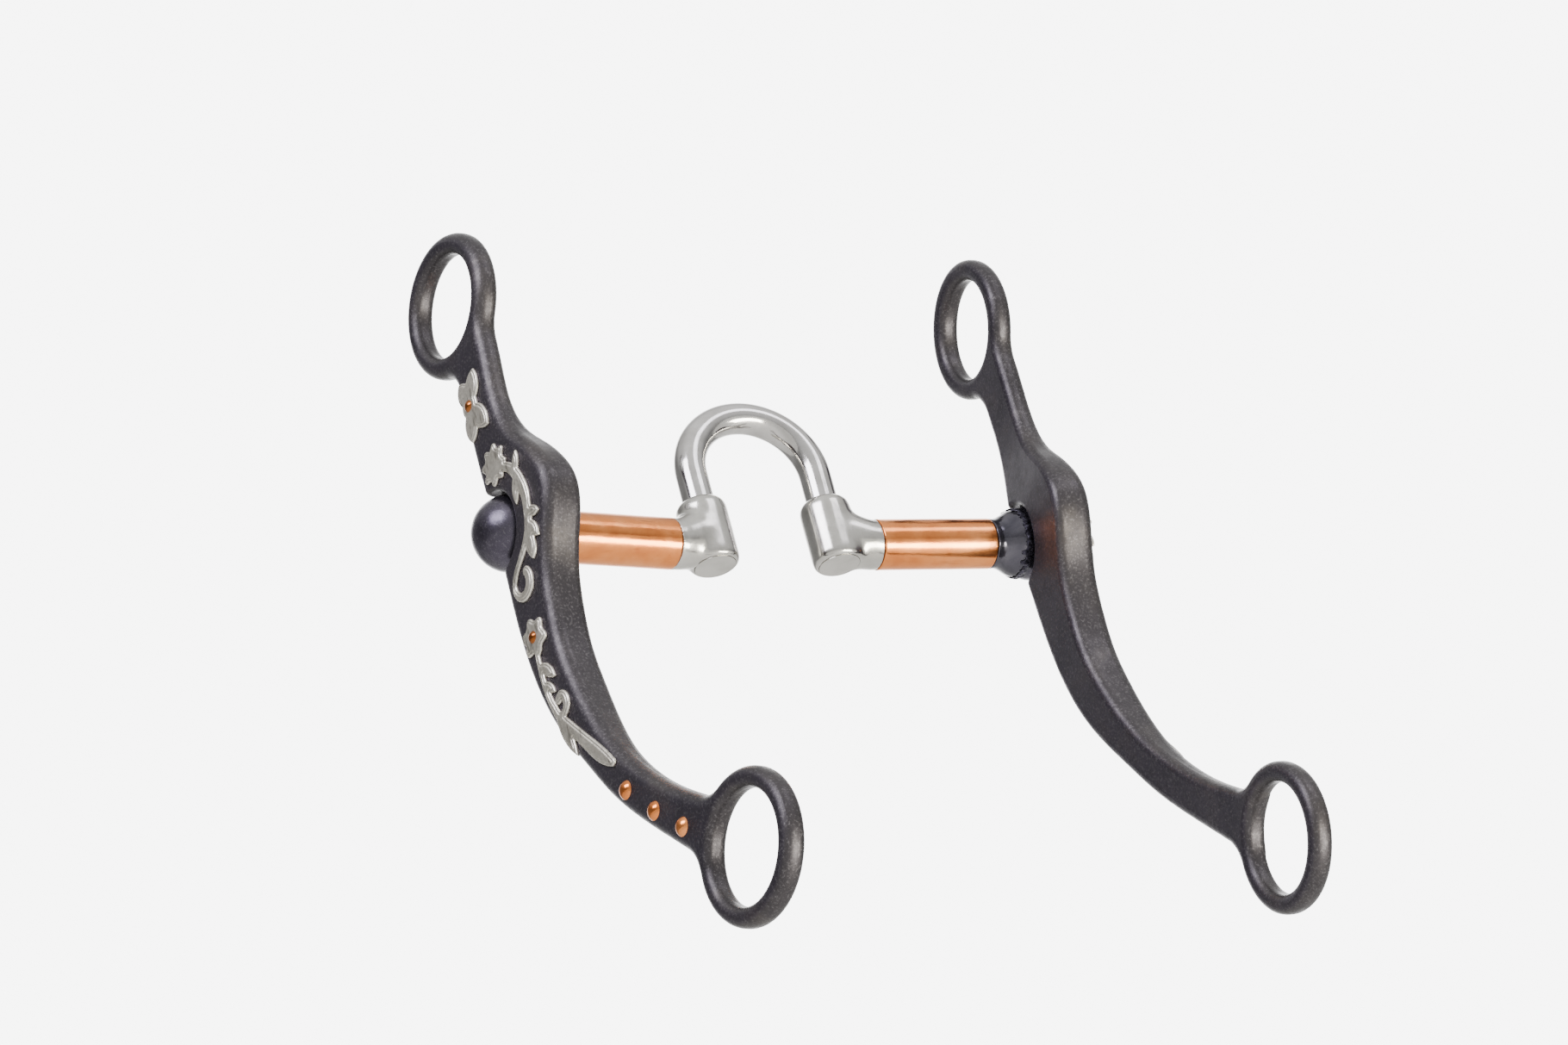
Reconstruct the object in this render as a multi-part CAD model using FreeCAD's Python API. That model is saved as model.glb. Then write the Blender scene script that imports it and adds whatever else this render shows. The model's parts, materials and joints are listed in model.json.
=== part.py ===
import FreeCAD, Part
import math
import os
from FreeCAD import Vector

# Loose-cheek curb bit with a hinged correction port, in millimetres.
# X runs along the mouthpiece with the left cheek at -X, Y points forward to the horse's nose
# and Z up to the headstall rings. The origin is the middle of the mouthpiece.
# Each half is drawn on the +X side, straight, and mirrored for the left. It is then turned a
# few degrees about its own hinges, because the stored pose is the bit lying loose.

# Mouthpiece
MOUTH_WIDTH = 127.0         # between the cheeks' inner faces
PORT_SPAN = 32.0            # between the two port legs
PORT_HEIGHT = 35.4          # mouthpiece axis to the rod's centre line at the top
PORT_ROD_R = 3.8
RUNNING = 0.05              # radial clearance of every turning joint
BARREL_R = 6.2
BARREL_TOP = 11.3
BARREL_BOTTOM = -5.6
HEAD_R = 4.9                # flush head that keeps a port leg in its barrel
HEAD_THICK = 2.1
BAR_R = 6.0
SLEEVE_R = 6.1
SLEEVE_BORE_R = 4.0
SLEEVE_START = 26.7         # from the middle of the bit
SLEEVE_LENGTH = 30.0
CORE_R = 3.95
SEAM = 0.12                 # gap at each end of a copper sleeve

# Knuckle and hinge, measured from the ball's centre
BALL_R = 8.95
BALL_TO_INNER_FACE = 5.0
COLLAR_R = 8.2
COLLAR_POS = 4.4
BEAD_POS = 3.9
BEAD_LOBES = 19
PIN_R = 1.5
PIN_SETBACK = 3.0           # the hinge pin stands behind the ball's centre
PIN_TOP = 16.5
PIN_BOTTOM = -17.0

# Cheek: Y and Z are from the ball's centre
CHEEK_OUTER = 5.0           # outer face
CHEEK_THICK = 10.0          # at the mouth
RING_THICK = 5.8            # at both rings
RING_HOLE_R = 12.25
HEAD_RING = (-0.3, 61.7)
HEAD_RING_R = 17.3
REIN_RING = (-61.2, -113.3)
REIN_RING_R = 16.8
NECK_BLEND = 9.0            # concave radius where the blade runs into a ring
INNER_ROUND = 2.2
OUTER_ROUND = 3.0           # the outer face runs softly into its edge
NOTCH_R = 10.2
NOTCH_CENTRE = (0.2, -0.9)
NOTCH_ROUND = 1.2
SPLAY = 0.6                 # degrees, rein rings outward
FRONT_EDGE = [(1.0, 52.0), (1.3, 38.0), (1.2, 28.0), (0.9, 17.0), (0.4, 8.0), (0.1, -4.0),
              (0.0, -16.0), (-0.4, -28.0), (-2.2, -41.0), (-5.8, -53.0), (-14.4, -69.3),
              (-20.5, -79.3), (-28.6, -89.5), (-37.8, -99.5), (-47.5, -110.0)]
REAR_EDGE = [(-56.5, -99.6), (-48.2, -93.4), (-41.3, -87.6), (-32.2, -78.0), (-25.3, -68.0),
             (-20.8, -58.0), (-17.6, -47.5), (-15.8, -38.0), (-16.0, -28.5), (-17.6, -19.0),
             (-20.3, -12.5), (-23.4, -6.0), (-24.6, 1.5), (-22.6, 7.5), (-19.6, 12.3),
             (-15.6, 17.6), (-13.0, 23.5), (-12.1, 30.0), (-12.2, 38.0), (-11.6, 52.0)]

# Ornament on the outer face
RELIEF = 0.9
TOP_FLOWER = (-3.5, 31.4)
BUD = (-7.6, 12.9)
LOW_FLOWER = (-8.0, -32.6)
DOT_R = 1.45
DOT_RAISE = 0.8
STUD_R = 2.15
STUD_RAISE = 1.25
STUDS = [(-27.6, -81.8), (-35.7, -91.2), (-44.0, -99.5)]

# Stored pose, degrees about +Z
LEFT_BAR_TURN = 7.0
RIGHT_BAR_TURN = 0.0
LEFT_CHEEK_TURN = 3.6
RIGHT_CHEEK_TURN = -1.0

BALL_X = MOUTH_WIDTH / 2 + BALL_TO_INNER_FACE
LEG_X = PORT_SPAN / 2
ORIGIN = Vector(0, 0, 0)
UP = Vector(0, 0, 1)
OUT = Vector(1, 0, 0)


def on_face(pair, x=0.0):
    return Vector(x, pair[0], pair[1])


def smooth(pairs, closed=False):
    line = Part.BSplineCurve()
    line.interpolate([on_face(pair) for pair in pairs], PeriodicFlag=closed)
    return line


def slab(edges, start, thick):
    face = Part.Face(Part.Wire(edges))
    face.translate(Vector(start, 0, 0))
    return face.extrude(Vector(thick, 0, 0))


def disc(centre, radius, start, thick):
    return Part.makeCylinder(radius, thick, on_face(centre, start), OUT)


def upright(radius, low, high, x=0.0, y=0.0):
    return Part.makeCylinder(radius, high - low, Vector(x, y, low), UP)


def along_x(radius, start, end):
    return Part.makeCylinder(radius, end - start, Vector(start, 0, 0), OUT)


def round_edges(shape):
    return [edge for edge in shape.Edges if edge.Curve.TypeId == "Part::GeomCircle"]


def dome(centre, radius, height, start):
    ball_r = (radius ** 2 + height ** 2) / (2 * height)
    ball = Part.makeSphere(ball_r, on_face(centre, start + height - ball_r))
    return ball.common(disc(centre, radius + 1, start, height + 1))


# ---------------------------------------------------------------- mouthpiece

def make_port():
    spring = PORT_HEIGHT - LEG_X
    section = Part.Face(Part.Wire(Part.makeCircle(PORT_ROD_R, Vector(LEG_X, 0, spring), UP)))
    arch = section.revolve(Vector(0, 0, spring), Vector(0, 1, 0), -180)
    foot = BARREL_BOTTOM + HEAD_THICK
    legs = [upright(PORT_ROD_R, foot, spring, side * LEG_X) for side in (-1, 1)]
    return arch.fuse(legs).removeSplitter()


def make_leg_head():
    return upright(HEAD_R, BARREL_BOTTOM, BARREL_BOTTOM + HEAD_THICK, LEG_X)


def oval(x, centre_z, half_width, half_height):
    ring = Part.Ellipse(ORIGIN, half_height, half_width).toShape()
    ring.rotate(ORIGIN, Vector(0, 1, 0), 90)
    ring.translate(Vector(x, 0, centre_z))
    return Part.Wire(ring)


def make_mouth_bar():
    # A barrel for the port leg runs smoothly into a round root, then a core for the sleeve.
    barrel = upright(BARREL_R, BARREL_BOTTOM, BARREL_TOP, LEG_X)
    rims = round_edges(barrel)
    barrel = barrel.makeFillet(1.5, [rim for rim in rims if rim.CenterOfMass.z > 0])
    barrel = barrel.makeFillet(1.0, [rim for rim in round_edges(barrel) if rim.CenterOfMass.z < -5])
    root_end = SLEEVE_START - SEAM
    sections = [oval(LEG_X, 2.5, 5.9, 8.0), oval(LEG_X + 4.2, 1.7, 5.95, 7.5),
                oval(LEG_X + 7.4, 0.5, BAR_R, 6.5), oval(root_end, 0.0, BAR_R, BAR_R)]
    root = Part.makeLoft(sections, True, False)
    core = along_x(CORE_R, SLEEVE_START - 2.0, SLEEVE_START + SLEEVE_LENGTH + 4.0)
    bore = upright(PORT_ROD_R + RUNNING, BARREL_BOTTOM, BARREL_TOP + 1, LEG_X)
    seat_top = BARREL_BOTTOM + HEAD_THICK + 0.1
    seat = upright(HEAD_R + RUNNING, BARREL_BOTTOM - 2, seat_top, LEG_X)
    return barrel.fuse([root, core]).cut([bore, seat])


def make_sleeve():
    end = SLEEVE_START + SLEEVE_LENGTH
    tube = along_x(SLEEVE_R, SLEEVE_START, end)
    tube = tube.makeFillet(0.35, round_edges(tube))
    return tube.cut(along_x(SLEEVE_BORE_R, SLEEVE_START - 1, end + 1))


def make_knuckle():
    # A flared neck and a collar run into the ball, all turned about X.
    start = SLEEVE_START + SLEEVE_LENGTH + SEAM - BALL_X
    flare = Part.BSplineCurve()
    flare.interpolate([Vector(start, BAR_R, 0), Vector(start + 2.4, BAR_R + 0.3, 0),
                       Vector(-COLLAR_POS - 2.4, 7.1, 0), Vector(-COLLAR_POS, COLLAR_R, 0)])
    back = [Vector(-COLLAR_POS, COLLAR_R, 0), Vector(-2.0, 7.6, 0), Vector(-2.0, 0, 0),
            Vector(start, 0, 0), Vector(start, BAR_R, 0)]
    outline = Part.Wire([flare.toShape()] + Part.makePolygon(back).Edges)
    neck = Part.Face(outline).revolve(ORIGIN, OUT, 360)
    socket_end = SLEEVE_START + SLEEVE_LENGTH + 4.2 - BALL_X
    socket = along_x(SLEEVE_BORE_R, start - 1, socket_end)
    bore = upright(PIN_R + RUNNING, -BALL_R - 1, BALL_R + 1, 0, -PIN_SETBACK)
    return neck.fuse(Part.makeSphere(BALL_R)).cut([socket, bore]).removeSplitter()


def make_weld_bead(knuckle):
    bead = Part.makeTorus(7.7, 0.8, Vector(-BEAD_POS, 0, 0), OUT)
    lobes = []
    for index in range(BEAD_LOBES):
        turn = 2 * math.pi * index / BEAD_LOBES
        reach = 7.55 + 0.12 * math.sin(5 * turn)
        drift = 0.25 * math.cos(3 * turn)
        place = Vector(-BEAD_POS - drift, reach * math.cos(turn), reach * math.sin(turn))
        lobes.append(Part.makeSphere(1.0, place))
    return bead.fuse(lobes).cut(knuckle)


def make_hinge_pin():
    return upright(PIN_R, PIN_BOTTOM, PIN_TOP, 0, -PIN_SETBACK)


# ---------------------------------------------------------------- cheek

def is_hole(edge):
    return edge.Curve.TypeId == "Part::GeomCircle" and abs(edge.Curve.Radius - RING_HOLE_R) < 0.01


def runs_across(edge):
    ends = [vertex.Point for vertex in edge.Vertexes]
    return len(ends) == 2 and math.hypot(ends[0].y - ends[1].y, ends[0].z - ends[1].z) < 0.01


def across_near(shape, places, reach):
    found = []
    for edge in shape.Edges:
        middle = edge.CenterOfMass
        gaps = [math.hypot(middle.y - y, middle.z - z) for y, z in places]
        if runs_across(edge) and min(gaps) < reach:
            found.append(edge)
    return found


def rim_edges(shape, outer):
    # Edges of the outer face's outline, or those of the inner face and both rings' holes.
    inner_level = CHEEK_OUTER - RING_THICK
    found = []
    for edge in shape.Edges:
        straight_through = edge.BoundBox.ZLength < 0.01 and edge.BoundBox.XLength < 0.01
        if straight_through or runs_across(edge):
            continue
        middle = edge.CenterOfMass.x
        if is_hole(edge):
            wanted = not outer
        elif outer:
            wanted = middle > CHEEK_OUTER - 0.05
        else:
            wanted = middle < inner_level + 0.05
        if wanted:
            found.append(edge)
    return found


def notch_edges(shape):
    found = []
    for edge in shape.Edges:
        reach = [math.hypot(vertex.Y - NOTCH_CENTRE[0], vertex.Z - NOTCH_CENTRE[1])
                 for vertex in edge.Vertexes]
        if len(reach) == 2 and max(abs(value - NOTCH_R) for value in reach) < 0.02:
            found.append(edge)
    return found


def splayed(shape):
    turned = shape.copy()
    turned.rotate(ORIGIN, Vector(0, 1, 0), -SPLAY)
    return turned


def ease(start, end):
    # S-curve in the XZ plane that leaves and arrives along Z.
    reach = (end[1] - start[1]) * 0.45
    line = Part.BezierCurve()
    line.setPoles([Vector(start[0], 0, start[1]), Vector(start[0], 0, start[1] + reach),
                   Vector(end[0], 0, end[1] - reach), Vector(end[0], 0, end[1])])
    return line.toShape()


def thickness_band():
    # The outer face is flat. The plate is thickest just under the mouth and thins to each ring.
    ring_in = CHEEK_OUTER - RING_THICK
    mouth_in = CHEEK_OUTER - CHEEK_THICK
    top = Part.makeLine(Vector(ring_in, 0, 90), Vector(ring_in, 0, 34))
    middle = Part.makeLine(Vector(mouth_in, 0, -6), Vector(mouth_in, 0, -36))
    rest = [Vector(ring_in, 0, -100), Vector(ring_in, 0, -140), Vector(CHEEK_OUTER, 0, -140),
            Vector(CHEEK_OUTER, 0, 90), Vector(ring_in, 0, 90)]
    edges = [top, ease((ring_in, 34), (mouth_in, -6)), middle,
             ease((mouth_in, -36), (ring_in, -100))]
    face = Part.Face(Part.Wire(edges + Part.makePolygon(rest).Edges))
    face.translate(Vector(0, -100, 0))
    return face.extrude(Vector(0, 150, 0))


def make_cheek():
    low = CHEEK_OUTER - CHEEK_THICK - 1
    deep = CHEEK_THICK + 2
    top_join = Part.makeLine(on_face(REAR_EDGE[-1]), on_face(FRONT_EDGE[0]))
    low_join = Part.makeLine(on_face(FRONT_EDGE[-1]), on_face(REAR_EDGE[0]))
    front = smooth(FRONT_EDGE).toShape()
    rear = smooth(REAR_EDGE).toShape()
    blade = slab([front, low_join, rear, top_join], low, deep)
    rings = [disc(HEAD_RING, HEAD_RING_R, low, deep), disc(REIN_RING, REIN_RING_R, low, deep)]
    body = blade.fuse(rings).removeSplitter()
    necks = [(1.2, 45.2), (-12.0, 49.7), (-45.4, -107.6), (-54.3, -98.0)]
    body = body.makeFillet(NECK_BLEND, across_near(body, necks, 3.0))
    body = body.cut([disc(ring, RING_HOLE_R, low - 1, deep + 2) for ring in (HEAD_RING, REIN_RING)])
    body = body.common(thickness_band()).removeSplitter()
    body = body.makeFillet(OUTER_ROUND, rim_edges(body, True))
    body = body.makeFillet(INNER_ROUND, rim_edges(body, False))
    body = body.cut(disc(NOTCH_CENTRE, NOTCH_R, low - 1, deep + 2))
    body = body.makeFillet(NOTCH_ROUND, notch_edges(body))
    return splayed(body).cut(make_hinge_pin())


# ---------------------------------------------------------------- ornament

def leaf(base, tip, width):
    # Pointed leaf between two arcs.
    along_y = tip[0] - base[0]
    along_z = tip[1] - base[1]
    length = math.hypot(along_y, along_z)
    side_y = -along_z / length * width / 2
    side_z = along_y / length * width / 2
    middle = (base[0] + 0.45 * along_y, base[1] + 0.45 * along_z)
    left = on_face((middle[0] + side_y, middle[1] + side_z))
    right = on_face((middle[0] - side_y, middle[1] - side_z))
    arcs = [Part.Arc(on_face(base), left, on_face(tip)), Part.Arc(on_face(tip), right, on_face(base))]
    return slab([arc.toShape() for arc in arcs], CHEEK_OUTER, RELIEF)


def stroke(places, widths):
    # Stem of changing width along a smooth line, with round ends.
    line = smooth(places)
    count = len(places)
    left = []
    right = []
    for index in range(count):
        point = on_face(places[index])
        tangent = line.tangent(line.parameter(point))[0]
        side = Vector(0, -tangent.z, tangent.y) * (widths[index] / 2)
        left.append(point + side)
        right.append(point - side)
    caps = []
    for index, sign in ((count - 1, 1), (0, -1)):
        tangent = line.tangent(line.parameter(on_face(places[index])))[0]
        nose = on_face(places[index]) + tangent * (sign * widths[index] / 2)
        ends = (left[index], right[index]) if sign > 0 else (right[index], left[index])
        caps.append(Part.Arc(ends[0], nose, ends[1]).toShape())
    sides = []
    for row in (left, right[::-1]):
        edge = Part.BSplineCurve()
        edge.interpolate(row)
        sides.append(edge.toShape())
    return slab([sides[0], caps[0], sides[1], caps[1]], CHEEK_OUTER, RELIEF)


def lobed_disc(centre, radius, lobes, depth, turn):
    places = []
    for index in range(lobes * 6):
        angle = 2 * math.pi * index / (lobes * 6)
        reach = radius * (1 + depth * math.cos(lobes * (angle - turn)))
        places.append((centre[0] + reach * math.cos(angle), centre[1] + reach * math.sin(angle)))
    return slab([smooth(places, True).toShape()], CHEEK_OUTER, RELIEF)


def joined(pieces):
    return pieces[0].fuse(pieces[1:]).removeSplitter()


def make_top_flower():
    tips = [(-7.9, 39.1), (-1.2, 38.6), (-1.6, 22.6), (-8.9, 23.2)]
    petals = [leaf(TOP_FLOWER, tip, 5.2) for tip in tips]
    return joined([disc(TOP_FLOWER, 3.1, CHEEK_OUTER, RELIEF)] + petals)


def make_vine_scroll():
    stem = stroke([(-10.2, 10.6), (-13.4, 8.4), (-15.8, 3.6), (-16.7, -1.0), (-16.2, -4.6),
                   (-14.9, -8.4), (-12.6, -10.9), (-9.4, -13.3), (-6.3, -15.8), (-5.0, -18.2),
                   (-5.7, -20.7), (-8.2, -21.9), (-10.5, -20.8), (-11.2, -18.4), (-10.6, -16.9)],
                  [2.2, 2.6, 3.4, 3.2, 3.0, 2.7, 2.1, 1.7, 1.6, 1.7, 2.0, 2.5, 2.9, 2.9, 2.4])
    leaves = [leaf((-14.6, 6.0), (-16.9, 11.2), 2.4), leaf((-14.6, 6.4), (-12.7, -0.8), 2.6),
              leaf((-15.8, -4.6), (-20.3, -6.6), 2.6), leaf((-15.4, -6.6), (-18.2, -12.0), 3.0),
              leaf((-14.9, -8.6), (-14.4, -16.0), 3.8)]
    return joined([stem, lobed_disc(BUD, 4.5, 8, 0.14, 0.3)] + leaves)


def make_lower_spray():
    stem = stroke([(-7.8, -35.6), (-7.7, -41.0), (-8.1, -46.0), (-9.4, -51.0), (-10.8, -54.6)],
                  [1.6, 1.7, 1.9, 2.1, 2.4])
    curl = stroke([(-10.6, -53.9), (-12.9, -54.4), (-14.4, -52.6), (-13.5, -50.5), (-11.9, -50.5)],
                  [1.8, 2.1, 2.4, 2.5, 2.5])
    blade = stroke([(-10.4, -53.8), (-14.6, -59.8), (-18.4, -65.0), (-22.0, -69.8), (-25.8, -74.0)],
                   [2.2, 2.8, 3.3, 3.6, 2.0])
    leaves = [leaf((-7.8, -39.4), (-12.6, -45.0), 2.8), leaf((-8.2, -44.2), (-11.4, -48.4), 2.0),
              leaf((-9.6, -52.2), (-14.2, -66.1), 3.4)]
    return joined([lobed_disc(LOW_FLOWER, 4.3, 6, 0.13, 0.4), stem, curl, blade] + leaves)


def make_flower_centres():
    face = CHEEK_OUTER + RELIEF
    return Part.makeCompound([dome(place, DOT_R, DOT_RAISE, face) for place in (TOP_FLOWER, LOW_FLOWER)])


def make_studs():
    return Part.makeCompound([dome(place, STUD_R, STUD_RAISE, CHEEK_OUTER) for place in STUDS])


# ---------------------------------------------------------------- assembly

def save(name, shape):
    shape.exportStep("parts/" + name + ".step")
    print(name, len(shape.Solids), shape.isValid(), round(shape.Volume, 1))


def settle(shape, side, from_ball, cheek_turn, bar_turn):
    placed = shape.copy()
    if from_ball:
        placed.translate(Vector(BALL_X, 0, 0))
    if side < 0:
        placed = placed.mirror(ORIGIN, OUT)
    placed.rotate(Vector(side * BALL_X, -PIN_SETBACK, 0), UP, cheek_turn)
    placed.rotate(Vector(side * LEG_X, 0, 0), UP, bar_turn)
    return placed


os.makedirs("parts", exist_ok=True)
knuckle = make_knuckle()
bar_group = {"mouth_bar": make_mouth_bar(), "copper_sleeve": make_sleeve()}
knuckle_group = {"end_knuckle": knuckle, "weld_bead": make_weld_bead(knuckle)}
cheek_group = {"cheek": make_cheek(), "hinge_pin": make_hinge_pin()}
for name, make in (("top_flower", make_top_flower), ("vine_scroll", make_vine_scroll),
                   ("lower_spray", make_lower_spray), ("flower_centres", make_flower_centres),
                   ("rein_studs", make_studs)):
    cheek_group[name] = splayed(make())
save("port", make_port())
for prefix, side, cheek_turn, bar_turn in (("left_", -1, LEFT_CHEEK_TURN, LEFT_BAR_TURN),
                                           ("right_", 1, RIGHT_CHEEK_TURN, RIGHT_BAR_TURN)):
    save(prefix + "leg_head", settle(make_leg_head(), side, False, 0, 0))
    for name, shape in bar_group.items():
        save(prefix + name, settle(shape, side, False, 0, bar_turn))
    for name, shape in knuckle_group.items():
        save(prefix + name, settle(shape, side, True, 0, bar_turn))
    for name, shape in cheek_group.items():
        save(prefix + name, settle(shape, side, True, cheek_turn, bar_turn))
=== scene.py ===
import json
import math

import bmesh
import bpy
from mathutils import Matrix, Vector
from mathutils.kdtree import KDTree


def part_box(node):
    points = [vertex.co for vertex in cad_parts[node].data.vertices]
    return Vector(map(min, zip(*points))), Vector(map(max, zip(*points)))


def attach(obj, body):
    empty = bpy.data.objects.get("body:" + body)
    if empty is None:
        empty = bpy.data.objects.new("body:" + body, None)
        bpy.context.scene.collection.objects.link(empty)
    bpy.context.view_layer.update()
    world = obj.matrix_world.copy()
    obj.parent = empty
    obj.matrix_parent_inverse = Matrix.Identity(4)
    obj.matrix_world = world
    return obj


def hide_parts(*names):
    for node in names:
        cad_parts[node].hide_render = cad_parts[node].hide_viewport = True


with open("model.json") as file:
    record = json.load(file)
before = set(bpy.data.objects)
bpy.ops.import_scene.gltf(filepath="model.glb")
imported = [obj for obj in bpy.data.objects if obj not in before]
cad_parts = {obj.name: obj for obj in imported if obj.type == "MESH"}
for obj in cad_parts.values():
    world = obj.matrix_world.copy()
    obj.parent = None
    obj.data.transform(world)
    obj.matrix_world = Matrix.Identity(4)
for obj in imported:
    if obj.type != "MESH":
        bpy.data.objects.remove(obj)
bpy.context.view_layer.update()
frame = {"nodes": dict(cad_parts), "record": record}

NODES = frame["nodes"]
MOUNTS = {m["name"]: m for m in frame["record"]["mounts"]}
JOINTS = {j["name"]: j["pos_m"] for j in frame["record"]["behaviour"]["joints"]}
SIDES = ("left", "right")
MM = 0.001
RELIEFS = ("top_flower", "vine_scroll", "lower_spray")


# ------------------------------------------------------------------ material kit

class Shader:
    """One procedural material, built from a few noise layers in the object's own coordinates."""

    def __init__(self, name, metallic, specular=0.5):
        self.material = bpy.data.materials.new(name)
        self.material.use_nodes = True
        self.tree = self.material.node_tree
        self.bsdf = self.tree.nodes["Principled BSDF"]
        self.bsdf.inputs["Metallic"].default_value = metallic
        self.bsdf.inputs["Specular IOR Level"].default_value = specular
        self.coord = self.add("ShaderNodeTexCoord")
        self.height = None

    def add(self, kind, **settings):
        node = self.tree.nodes.new(kind)
        for key, value in settings.items():
            setattr(node, key, value)
        return node

    def link(self, source, target):
        self.tree.links.new(source, target)

    def noise(self, scale, detail=4.0, rough=0.55, stretch=(1, 1, 1), turn=(0, 0, 0), warp=0.0):
        """Soft noise, scale in waves per metre; a small stretch draws it out along that axis."""
        mapping = self.add("ShaderNodeMapping")
        mapping.inputs["Scale"].default_value = stretch
        mapping.inputs["Rotation"].default_value = turn
        node = self.add("ShaderNodeTexNoise")
        node.inputs["Scale"].default_value = scale
        node.inputs["Detail"].default_value = detail
        node.inputs["Roughness"].default_value = rough
        node.inputs["Distortion"].default_value = warp
        self.link(self.coord.outputs["Object"], mapping.inputs["Vector"])
        self.link(mapping.outputs["Vector"], node.inputs["Vector"])
        return node.outputs["Fac"]

    def cells(self, scale):
        """Distance to the nearest of many scattered points, for small pits."""
        node = self.add("ShaderNodeTexVoronoi", feature="F1")
        node.inputs["Scale"].default_value = scale
        self.link(self.coord.outputs["Object"], node.inputs["Vector"])
        return node.outputs["Distance"]

    def remap(self, value, low, high, out_low=0.0, out_high=1.0):
        node = self.add("ShaderNodeMapRange")
        node.inputs["From Min"].default_value = low
        node.inputs["From Max"].default_value = high
        node.inputs["To Min"].default_value = out_low
        node.inputs["To Max"].default_value = out_high
        self.link(value, node.inputs["Value"])
        return node.outputs["Result"]

    def ramp(self, value, stops):
        """Colour from a list of (place, colour)."""
        node = self.add("ShaderNodeValToRGB")
        points = node.color_ramp.elements
        points[0].position, points[0].color = stops[0][0], (*stops[0][1], 1)
        points[1].position, points[1].color = stops[-1][0], (*stops[-1][1], 1)
        for position, colour in stops[1:-1]:
            points.new(position).color = (*colour, 1)
        self.link(value, node.inputs["Fac"])
        return node.outputs["Color"]

    def math(self, kind, a, b):
        """One step of arithmetic on sockets or plain numbers."""
        node = self.add("ShaderNodeMath", operation=kind)
        for socket, value in zip(node.inputs, (a, b)):
            if isinstance(value, (int, float)):
                socket.default_value = value
            else:
                self.link(value, socket)
        return node.outputs[0]

    def mix(self, factor, a, b):
        node = self.add("ShaderNodeMix", data_type="RGBA", blend_type="MIX")
        self.link(factor, node.inputs["Factor"])
        for socket, value in ((node.inputs[6], a), (node.inputs[7], b)):
            if isinstance(value, tuple):
                socket.default_value = (*value, 1)
            else:
                self.link(value, socket)
        return node.outputs[2]

    def facing(self, axis):
        """How squarely the surface faces along one axis of its own object, 0 to 1."""
        split = self.add("ShaderNodeSeparateXYZ")
        self.link(self.coord.outputs["Normal"], split.inputs["Vector"])
        return self.math("ABSOLUTE", split.outputs[axis], 0.0)

    def bump(self, value, distance_mm, strength):
        """Lay one more layer of relief over the layers before it."""
        node = self.add("ShaderNodeBump")
        node.inputs["Strength"].default_value = strength
        node.inputs["Distance"].default_value = distance_mm * MM
        self.link(value, node.inputs["Height"])
        if self.height is not None:
            self.link(self.height, node.inputs["Normal"])
        self.height = node.outputs["Normal"]

    def finish(self, colour, roughness):
        self.link(colour, self.bsdf.inputs["Base Color"])
        self.link(roughness, self.bsdf.inputs["Roughness"])
        if self.height is not None:
            self.link(self.height, self.bsdf.inputs["Normal"])
        return self.material


def browned_steel():
    """Forged steel of the cheeks: its flat faces a little bluer than its edges."""
    s = Shader("browned_steel", metallic=0.8)
    patch = s.noise(70, detail=3, warp=0.5)
    mottle = s.noise(380, detail=6, rough=0.7)
    speck = s.noise(1700, detail=3, rough=0.7)
    pits = s.cells(1100)
    face = s.ramp(patch, [(0.32, (0.042, 0.036, 0.049)), (0.55, (0.056, 0.048, 0.062)),
                          (0.74, (0.068, 0.056, 0.062))])
    edge = s.ramp(patch, [(0.30, (0.040, 0.036, 0.039)), (0.52, (0.054, 0.049, 0.052)),
                          (0.72, (0.073, 0.065, 0.062))])
    flat = s.remap(s.facing("X"), 0.72, 0.96)
    colour = s.mix(flat, edge, face)
    colour = s.mix(s.remap(mottle, 0.44, 0.68, 0.0, 0.55), colour, (0.030, 0.027, 0.030))
    colour = s.mix(s.remap(speck, 0.53, 0.66, 0.0, 0.42), colour, (0.17, 0.160, 0.165))
    rough = s.math("ADD", s.remap(mottle, 0.3, 0.7, 0.33, 0.47),
                   s.remap(speck, 0.3, 0.7, -0.05, 0.08))
    s.bump(patch, 0.12, 0.5)
    s.bump(mottle, 0.05, 0.6)
    s.bump(speck, 0.020, 0.7)
    s.bump(s.remap(pits, 0.0, 0.16), 0.03, 0.5)
    return s.finish(colour, rough)


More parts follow.
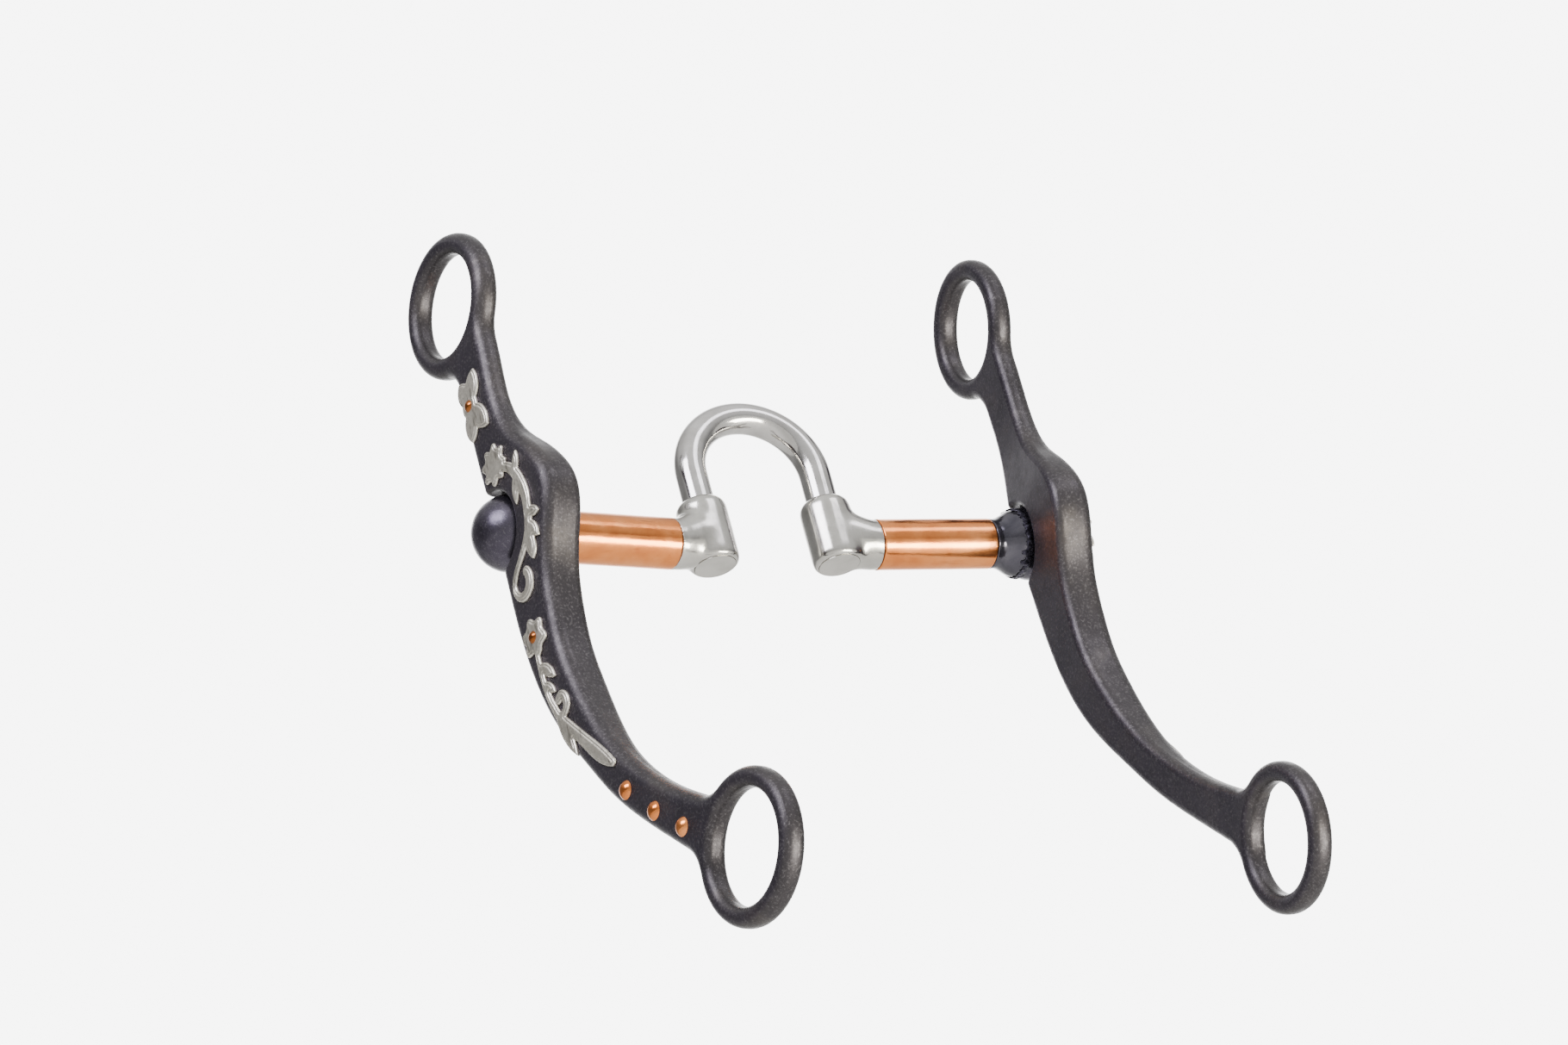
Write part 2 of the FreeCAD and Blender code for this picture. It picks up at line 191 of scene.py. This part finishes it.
def knuckle_steel():
    """Polished blue-grey neck up to the collar, then a duller ball, nearly as dark as the cheek."""
    s = Shader("knuckle_steel", metallic=0.9)
    tone = s.noise(160, detail=3, warp=0.5)
    wear = s.noise(800, detail=4, rough=0.65)
    speck = s.noise(1700, detail=3, rough=0.7)
    split = s.add("ShaderNodeSeparateXYZ")
    s.link(s.coord.outputs["Object"], split.inputs["Vector"])
    collar = abs(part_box("right_weld_bead")[1][0])
    from_middle = s.math("ABSOLUTE", split.outputs["X"], 0.0)
    ball = s.remap(from_middle, collar - 0.6 * MM, collar + 0.4 * MM)
    neck_colour = s.ramp(tone, [(0.32, (0.050, 0.048, 0.060)), (0.60, (0.088, 0.084, 0.100)),
                                (0.80, (0.130, 0.125, 0.140))])
    ball_colour = s.ramp(tone, [(0.32, (0.050, 0.044, 0.060)), (0.60, (0.078, 0.070, 0.092)),
                                (0.80, (0.105, 0.094, 0.118))])
    ball_colour = s.mix(s.remap(speck, 0.55, 0.68, 0.0, 0.35), ball_colour, (0.22, 0.21, 0.23))
    colour = s.mix(ball, neck_colour, ball_colour)
    colour = s.mix(s.remap(wear, 0.60, 0.78, 0.0, 0.4), colour, (0.030, 0.027, 0.032))
    rough = s.math("ADD", s.remap(wear, 0.3, 0.7, 0.10, 0.20), s.math("MULTIPLY", ball, 0.15))
    s.bump(tone, 0.30, 0.6)
    s.bump(wear, 0.015, 0.5)
    return s.finish(colour, rough)


def copper(name, tint=1.0):
    """Polished copper with fine scratches both ways; a tint below 1 darkens it."""
    s = Shader(name, metallic=1.0)
    tone = s.noise(120, detail=4, warp=0.4)
    dents = s.noise(230, detail=2, rough=0.4)
    along = s.noise(900, detail=3, rough=0.7, stretch=(0.10, 1.0, 1.0))
    around = s.noise(1500, detail=2, rough=0.7, stretch=(1.0, 0.12, 0.12), turn=(0.2, 0.1, 0.3))
    pits = s.cells(900)
    shades = [(0.28, (0.60, 0.175, 0.045)), (0.52, (0.77, 0.255, 0.070)),
              (0.76, (0.86, 0.33, 0.11))]
    colour = s.ramp(tone, [(place, tuple(tint * v for v in shade)) for place, shade in shades])
    dark = (0.26 * tint, 0.065 * tint, 0.02 * tint)
    colour = s.mix(s.remap(along, 0.58, 0.74, 0.0, 0.45), colour, dark)
    colour = s.mix(s.remap(pits, 0.10, 0.02, 0.0, 0.6), colour, dark)
    rough = s.math("ADD", s.remap(along, 0.3, 0.75, 0.10, 0.24),
                   s.remap(tone, 0.3, 0.7, -0.02, 0.05))
    s.bump(dents, 0.11, 0.55)
    s.bump(along, 0.014, 0.6)
    s.bump(around, 0.008, 0.5)
    s.bump(s.remap(pits, 0.0, 0.14), 0.02, 0.4)
    return s.finish(colour, rough)


def bright_steel(name, base, shade, rough_low, rough_high):
    """Polished steel, waved by hand work and worn in small patches."""
    s = Shader(name, metallic=1.0)
    tone = s.noise(150, detail=4, warp=0.3)
    waves = s.noise(110, detail=1, rough=0.3)
    wear = s.noise(700, detail=4, rough=0.65)
    lines = s.noise(1800, detail=2, rough=0.7, stretch=(1.0, 1.0, 0.08))
    colour = s.ramp(tone, [(0.30, shade), (0.60, base)])
    colour = s.mix(s.remap(wear, 0.62, 0.80, 0.0, 0.22), colour, tuple(0.45 * v for v in shade))
    rough = s.math("ADD", s.remap(wear, 0.3, 0.7, rough_low, rough_high),
                   s.remap(lines, 0.3, 0.7, -0.02, 0.04))
    s.bump(waves, 0.30, 0.5)
    s.bump(wear, 0.008, 0.4)
    s.bump(lines, 0.003, 0.5)
    return s.finish(colour, rough)


def nickel_silver():
    """Dull pale metal of the scroll work, with dark cut lines."""
    s = Shader("nickel_silver", metallic=1.0)
    tone = s.noise(200, detail=4, warp=0.5)
    grain = s.noise(1600, detail=3, rough=0.7)
    cuts = s.noise(950, detail=2, rough=0.5, stretch=(1.0, 1.0, 0.22), turn=(0.5, 0.0, 0.0))
    colour = s.ramp(tone, [(0.30, (0.55, 0.52, 0.45)), (0.60, (0.74, 0.70, 0.62)),
                           (0.80, (0.83, 0.79, 0.71))])
    colour = s.mix(s.remap(cuts, 0.56, 0.70, 0.0, 0.55), colour, (0.13, 0.115, 0.095))
    rough = s.remap(grain, 0.3, 0.7, 0.30, 0.50)
    s.bump(cuts, 0.06, 0.7)
    s.bump(grain, 0.015, 0.6)
    return s.finish(colour, rough)


def weld_metal():
    """Glassy dark bead; the bright lilac flecks in its colour are painted highlights."""
    s = Shader("weld_metal", metallic=0.9)
    scale = s.noise(700, detail=5, rough=0.7, warp=0.8)
    grit = s.cells(2600)
    # the top stop paints bright lilac highlights into the bead's dark colour
    colour = s.ramp(scale, [(0.35, (0.018, 0.016, 0.024)), (0.56, (0.060, 0.055, 0.078)),
                            (0.74, (0.26, 0.24, 0.30))])
    rough = s.remap(grit, 0.0, 0.5, 0.16, 0.45)
    s.bump(scale, 0.16, 0.8)
    s.bump(grit, 0.05, 0.7)
    return s.finish(colour, rough)


# ------------------------------------------------------------------ shaped pieces

# Sizes below are in millimetres, unless they are multiplied by MM.
RELIEF_VOXEL = 0.16 * MM
BEAD_VOXEL = 0.2 * MM
KNUCKLE_VOXEL = 0.22 * MM
BAR_VOXEL = 0.24 * MM

OUTLINE_STEP = 0.1 * MM          # between the points that stand for a plate's outline
SAME_PLACE = 1e-6                # metres, for joining the doubled corners of a plate
SIDE_TILT, FACE_TILT = 0.5, 0.9  # a wall faces outward less than the first, a face more than the second
RIM_HEIGHT, CROWN_RISE = 0.42, 0.58  # shares of the plate's height: at its outline, and above that
CROWN_WIDTH = 1.15               # from the outline to the full height
CUT_DEPTH = 0.20                 # share of the plate's height
CUT_PLACE, CUT_WIDTH = 0.62, 0.13

BEAD_SLOPE = 0.75                # spread of the bead along the bar
BEAD_RIPPLE, BEAD_SINK = 0.35, 0.06
BEAD_LUMP = 0.09

SLEEVE_GAP = 0.3                 # the knuckle keeps its own shape this near the sleeve
CORE_RADIUS = 5.2                # and everywhere nearer to the bar's axis than this
SWELL, SWELL_PLACE, SWELL_WIDTH = 0.42, 5.6, 1.7
WAIST, WAIST_PLACE, WAIST_WIDTH = 0.12, 2.0, 1.2

BORE_KEPT, BORE_BLEND = 4.95, 0.7  # from the port leg's axis: the barrel's bore isn't smoothed
ROOT_KEPT, ROOT_BLEND = 1.6, 2.0   # from the sleeve's inner end: the bar's core isn't smoothed
SMOOTH_FACTOR, SMOOTH_ROUNDS = 0.5, 190


def new_piece(name, mesh, body, material):
    piece = bpy.data.objects.new(name, mesh)
    bpy.context.scene.collection.objects.link(piece)
    mesh.materials.clear()
    mesh.materials.append(material)
    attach(piece, body)
    return piece


def fine_mesh(node, voxel):
    """A copy of a node's solid, remeshed into small even faces."""
    copy = bpy.data.objects.new("fine", NODES[node].data.copy())
    bpy.context.scene.collection.objects.link(copy)
    remesh = copy.modifiers.new("remesh", "REMESH")
    remesh.mode = "VOXEL"
    remesh.voxel_size = voxel
    remesh.use_smooth_shade = True
    ready = copy.evaluated_get(bpy.context.evaluated_depsgraph_get())
    mesh = bpy.data.meshes.new_from_object(ready)
    bpy.data.objects.remove(copy)
    return mesh


def keep_largest_island(mesh):
    """Drop the crumbs that a remesh leaves beside the main body."""
    shape = bmesh.new()
    shape.from_mesh(mesh)
    waiting = set(shape.verts)
    islands = []
    while waiting:
        front = [waiting.pop()]
        island = list(front)
        while front:
            near = {vert for edge in front.pop().link_edges for vert in edge.verts} & waiting
            waiting -= near
            front += near
            island += near
        islands.append(island)
    for island in sorted(islands, key=len)[:-1]:
        bmesh.ops.delete(shape, geom=island, context="VERTS")
    shape.to_mesh(mesh)
    shape.free()


def outline_points(mesh, outward, step):
    """Points along the rim of a plate's outer face, for distances to its outline."""
    shape = bmesh.new()
    shape.from_mesh(mesh)
    bmesh.ops.remove_doubles(shape, verts=shape.verts, dist=SAME_PLACE)
    points = []
    for edge in shape.edges:
        if len(edge.link_faces) != 2:
            continue
        tilts = sorted(face.normal.dot(outward) for face in edge.link_faces)
        if tilts[0] < SIDE_TILT and tilts[1] > FACE_TILT:
            a, b = (vert.co for vert in edge.verts)
            count = max(1, int((a - b).length / step))
            points += [a.lerp(b, index / count) for index in range(count)]
    shape.free()
    return points


def pillowed(side, name, material):
    """Plate with a softly crowned face and a cut line just inside its outline."""
    node = side + "_" + name
    outward = Vector(MOUNTS[side + "_rein_ring"]["axis"])
    points = outline_points(NODES[node].data, outward, OUTLINE_STEP)
    tree = KDTree(len(points))
    for index, point in enumerate(points):
        tree.insert(point - outward * point.dot(outward), index)
    tree.balance()
    mesh = fine_mesh(node, RELIEF_VOXEL)
    base = min(vert.co.dot(outward) for vert in mesh.vertices)
    for vert in mesh.vertices:
        lift = vert.co.dot(outward) - base
        flat = vert.co - outward * vert.co.dot(outward)
        reach = tree.find(flat)[2] / MM
        inward = min(reach / CROWN_WIDTH, 1.0)
        crown = RIM_HEIGHT + CROWN_RISE * math.sqrt(1 - (1 - inward) ** 2)
        cut = CUT_DEPTH * math.exp(-((reach - CUT_PLACE) / CUT_WIDTH) ** 2)
        vert.co += outward * lift * (crown - cut - 1)
    piece = new_piece(node + "_relief", mesh, side + "_shank", material)
    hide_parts(node)


def bar_line(side):
    """Middle of a bar's sleeve, the bar's direction away from the port, half the sleeve's length."""
    low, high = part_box(side + "_copper_sleeve")
    middle = (Vector(low) + Vector(high)) / 2
    outward = (middle - Vector(JOINTS[side + "_port_swivel"])).normalized()
    sleeve = NODES[side + "_copper_sleeve"].data
    reach = max((vert.co - middle).dot(outward) for vert in sleeve.vertices)
    return middle, outward, reach


def rough_bead(side, material):
    """Weld bead laid unevenly over the edge of the collar."""
    node = side + "_weld_bead"
    mesh = fine_mesh(node, BEAD_VOXEL)
    keep_largest_island(mesh)
    low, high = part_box(node)
    centre = (Vector(low) + Vector(high)) / 2
    outward = bar_line(side)[1]
    mesh.update()
    normals = [vert.normal.copy() for vert in mesh.vertices]
    for vert, normal in zip(mesh.vertices, normals):
        place = (vert.co - centre) / MM
        ripple = math.sin(2.1 * place.x + 1.7 * place.y) * math.sin(2.6 * place.z + 0.8 * place.y)
        fleck = math.sin(5.3 * place.y + 3.1 * place.z) * math.sin(4.7 * place.z - 3.9 * place.x)
        spread = BEAD_SLOPE * place.dot(outward) - BEAD_SLOPE + BEAD_RIPPLE * ripple
        lump = -BEAD_SINK + BEAD_LUMP * ripple + BEAD_LUMP * fleck
        vert.co += (normal * lump + outward * spread) * MM
    piece = new_piece(node + "_rough", mesh, side + "_bar", material)
    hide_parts(node)


def forged_knuckle(side, material):
    """Knuckle with a slimmer waist at the sleeve and a fuller swell before its collar."""
    node = side + "_end_knuckle"
    mesh = fine_mesh(node, KNUCKLE_VOXEL)
    middle, outward, reach = bar_line(side)
    for vert in mesh.vertices:
        along = (vert.co - middle).dot(outward)
        radial = vert.co - middle - outward * along
        run = (along - reach) / MM
        if run > SLEEVE_GAP and radial.length > CORE_RADIUS * MM:
            swell = SWELL * math.exp(-((run - SWELL_PLACE) / SWELL_WIDTH) ** 2)
            waist = WAIST * math.exp(-((run - WAIST_PLACE) / WAIST_WIDTH) ** 2)
            vert.co += radial.normalized() * (swell - waist) * MM
    piece = new_piece(node + "_forged", mesh, side + "_bar", material)
    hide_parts(node)


def softened_bar(side, material):
    """Bar whose barrel, rim and root run into each other as one forged and polished piece."""
    node = side + "_mouth_bar"
    mesh = fine_mesh(node, BAR_VOXEL)
    leg_x = JOINTS[side + "_port_swivel"][0]
    sleeve_start = min(abs(corner[0]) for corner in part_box(side + "_copper_sleeve"))
    root_end = sleeve_start - ROOT_KEPT * MM
    piece = new_piece(node + "_forged", mesh, side + "_bar", material)
    group = piece.vertex_groups.new(name="soft")
    for vert in mesh.vertices:
        from_leg = math.hypot(vert.co.x - leg_x, vert.co.y)
        bore = min(max((from_leg - BORE_KEPT * MM) / (BORE_BLEND * MM), 0.0), 1.0)
        root = min(max((root_end - abs(vert.co.x)) / (ROOT_BLEND * MM), 0.0), 1.0)
        group.add([vert.index], bore * root, "REPLACE")
    smooth = piece.modifiers.new("smooth", "SMOOTH")
    smooth.factor = SMOOTH_FACTOR
    smooth.iterations = SMOOTH_ROUNDS
    smooth.vertex_group = "soft"
    ready = piece.evaluated_get(bpy.context.evaluated_depsgraph_get())
    piece.data = bpy.data.meshes.new_from_object(ready)
    piece.modifiers.clear()
    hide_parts(node)


# ------------------------------------------------------------------ dress the frame

STEEL = browned_steel()
COPPER = copper("polished_copper")
OLD_COPPER = copper("dulled_copper", tint=0.38)
NECK = knuckle_steel()
PORT = bright_steel("port_steel", (0.58, 0.565, 0.55), (0.45, 0.435, 0.415), 0.08, 0.17)
BAR = bright_steel("bar_steel", (0.56, 0.545, 0.51), (0.44, 0.425, 0.39), 0.12, 0.24)
PIN = bright_steel("pin_steel", (0.30, 0.30, 0.31), (0.20, 0.20, 0.21), 0.30, 0.45)
SILVER = nickel_silver()
WELD = weld_metal()

FINISH = {
    "port": PORT, "leg_head": BAR, "mouth_bar": BAR, "copper_sleeve": COPPER,
    "end_knuckle": NECK, "weld_bead": WELD, "hinge_pin": PIN, "cheek": STEEL,
    "top_flower": SILVER, "vine_scroll": SILVER, "lower_spray": SILVER,
    "flower_centres": OLD_COPPER, "rein_studs": COPPER,
}

for node, thing in NODES.items():
    first, _, rest = node.partition("_")
    kind = rest if first in SIDES else node
    thing.data.materials.clear()
    thing.data.materials.append(FINISH[kind])
for side in SIDES:
    for name in RELIEFS:
        pillowed(side, name, SILVER)
    rough_bead(side, WELD)
    softened_bar(side, BAR)
    forged_knuckle(side, NECK)


# ------------------------------------------------------------------ studio

def floor_material():
    s = Shader("pale_floor", metallic=0.0, specular=0.2)
    tone = s.noise(6, detail=3)
    s.bump(s.noise(400, detail=3), 0.05, 0.2)
    return s.finish(s.ramp(tone, [(0.3, (0.70, 0.695, 0.67)), (0.7, (0.74, 0.735, 0.71))]),
                    s.remap(tone, 0.3, 0.7, 0.55, 0.65))


# The camera looks up at the bit from below and behind it.
FOCAL_LENGTH, SENSOR_WIDTH = 103.77, 36.0
NEAR, FAR = 0.05, 50.0
CAMERA_PLACE = Vector((-0.4494, -0.8166, -0.4987))
RIGHT = Vector((0.9040, -0.3599, -0.2307))
UP = Vector((0.0062, -0.5285, 0.8489))
BACK = RIGHT.cross(UP).normalized()
RIGHT = UP.cross(BACK).normalized()
TURN = Matrix((RIGHT, UP.normalized(), BACK)).transposed()

camera_data = bpy.data.cameras.new("camera")
camera_data.sensor_width = SENSOR_WIDTH
camera_data.lens = FOCAL_LENGTH
camera_data.clip_start = NEAR
camera_data.clip_end = FAR
camera = bpy.data.objects.new("camera", camera_data)
bpy.context.scene.collection.objects.link(camera)
camera.matrix_world = Matrix.Translation(CAMERA_PLACE) @ TURN.to_4x4()
bpy.context.scene.camera = camera


def lamp(name, sideways, upward, towards, size, watts, tint):
    """Soft panel placed by the camera's own right, up and back directions, aimed at the bit."""
    place = RIGHT * sideways + UP * upward + BACK * towards
    data = bpy.data.lights.new(name, "AREA")
    data.shape = "RECTANGLE"
    data.size, data.size_y = size
    data.energy = watts
    data.color = tint
    panel = bpy.data.objects.new(name, data)
    panel.location = place
    panel.rotation_euler = place.to_track_quat("Z", "Y").to_euler()
    bpy.context.scene.collection.objects.link(panel)


COOL = (0.92, 0.91, 1.0)
WARM = (1.0, 0.97, 0.86)
lamp("key", -0.70, 0.80, 0.55, (0.7, 0.5), 15, COOL)      # the cheeks' rims
lamp("panel", 0.95, -0.08, 0.80, (0.8, 0.42), 27, WARM)   # the long highlight on the sleeves
lamp("edge", 0.55, 1.05, 0.15, (0.5, 0.3), 2.2, COOL)     # the upper edges

# Brightness of the room round the bit, by degrees away from one direction.
ROOM_FROM_UP = [(180, 0.055), (125, 0.075), (98, 0.050), (78, 0.045), (50, 0.13), (0, 0.20)]
COVE_FROM_BEHIND = [(180, 0.0), (42, 0.0), (27, 0.28), (15, 1.0)]
STUDIO_STRENGTH = 7.0


def studio_world():
    """Pale studio: a narrow bright cove behind the bit, and a dim room that is lighter overhead."""
    world = bpy.data.worlds.new("studio")
    bpy.context.scene.world = world
    world.use_nodes = True
    tree = world.node_tree
    coord = tree.nodes.new("ShaderNodeTexCoord")

    def band(direction, stops):
        aim = tree.nodes.new("ShaderNodeVectorMath")
        aim.operation = "DOT_PRODUCT"
        aim.inputs[1].default_value = direction
        scale = tree.nodes.new("ShaderNodeMapRange")
        scale.inputs["From Min"].default_value = -1.0
        scale.inputs["From Max"].default_value = 1.0
        ramp = tree.nodes.new("ShaderNodeValToRGB")
        ramp.color_ramp.interpolation = "EASE"
        points = ramp.color_ramp.elements
        places = [(1 + math.cos(math.radians(angle))) / 2 for angle, _ in stops]
        greys = [(level, level, level, 1) for _, level in stops]
        points[0].position, points[0].color = places[0], greys[0]
        points[1].position, points[1].color = places[-1], greys[-1]
        for place, grey in zip(places[1:-1], greys[1:-1]):
            points.new(place).color = grey
        tree.links.new(coord.outputs["Generated"], aim.inputs[0])
        tree.links.new(aim.outputs["Value"], scale.inputs["Value"])
        tree.links.new(scale.outputs["Result"], ramp.inputs["Fac"])
        return ramp.outputs["Color"]

    room = band(UP, ROOM_FROM_UP)
    cove = band(-BACK, COVE_FROM_BEHIND)
    both = tree.nodes.new("ShaderNodeMix")
    both.data_type = "RGBA"
    both.blend_type = "ADD"
    both.inputs["Factor"].default_value = 1.0
    tree.links.new(room, both.inputs[6])
    tree.links.new(cove, both.inputs[7])
    tree.links.new(both.outputs[2], tree.nodes["Background"].inputs["Color"])
    tree.nodes["Background"].inputs["Strength"].default_value = STUDIO_STRENGTH


studio_world()

FLOOR_SIZE, FLOOR_HEIGHT = 14, -0.8
bpy.ops.mesh.primitive_plane_add(size=FLOOR_SIZE, location=(0, 0, FLOOR_HEIGHT))
floor = bpy.context.object
floor.name = "floor"
floor.data.materials.append(floor_material())
